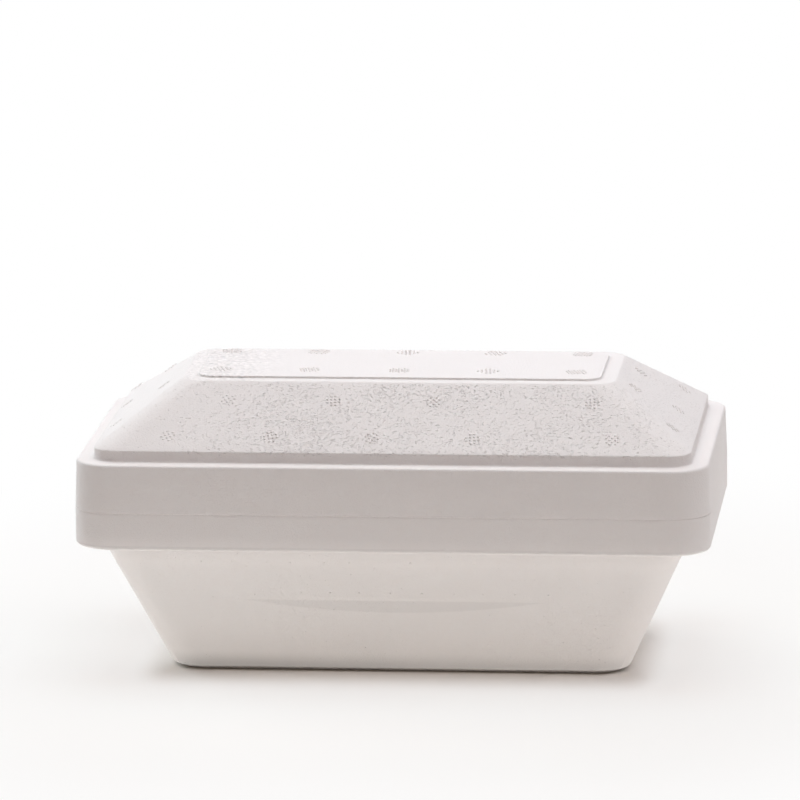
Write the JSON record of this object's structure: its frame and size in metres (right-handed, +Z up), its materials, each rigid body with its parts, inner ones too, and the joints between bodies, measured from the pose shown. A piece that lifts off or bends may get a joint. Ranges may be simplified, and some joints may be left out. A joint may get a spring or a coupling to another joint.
{
  "type": "foam ice cream tub",
  "caption": "White moulded foam tub with a tapered body under a wide rim band, and a hipped lid with a ledge, a step and a raised top panel that plugs onto a tongue.",
  "frame": {"origin": "on the ground under the middle of the tub's foot", "axes": "+X along the long side, -Y out of the long side that the picture shows, +Z up out of the lid"},
  "size_m": [0.189, 0.109, 0.0884],
  "materials": {
    "tub_foam": "moulded expanded polystyrene, matt, with fine fused beads",
    "lid_foam": "moulded expanded polystyrene, matt, with fine fused beads and small steam-vent prints"
  },
  "bodies": {
    "tub": {"tub": "tub_foam"},
    "lid": {"lid": "lid_foam"}
  },
  "joints": [
    {"name": "lid_lift", "type": "slide", "parent": "tub", "child": "lid", "axis": [0, 0, 1], "range_m": [0, 0.06]}
  ]
}
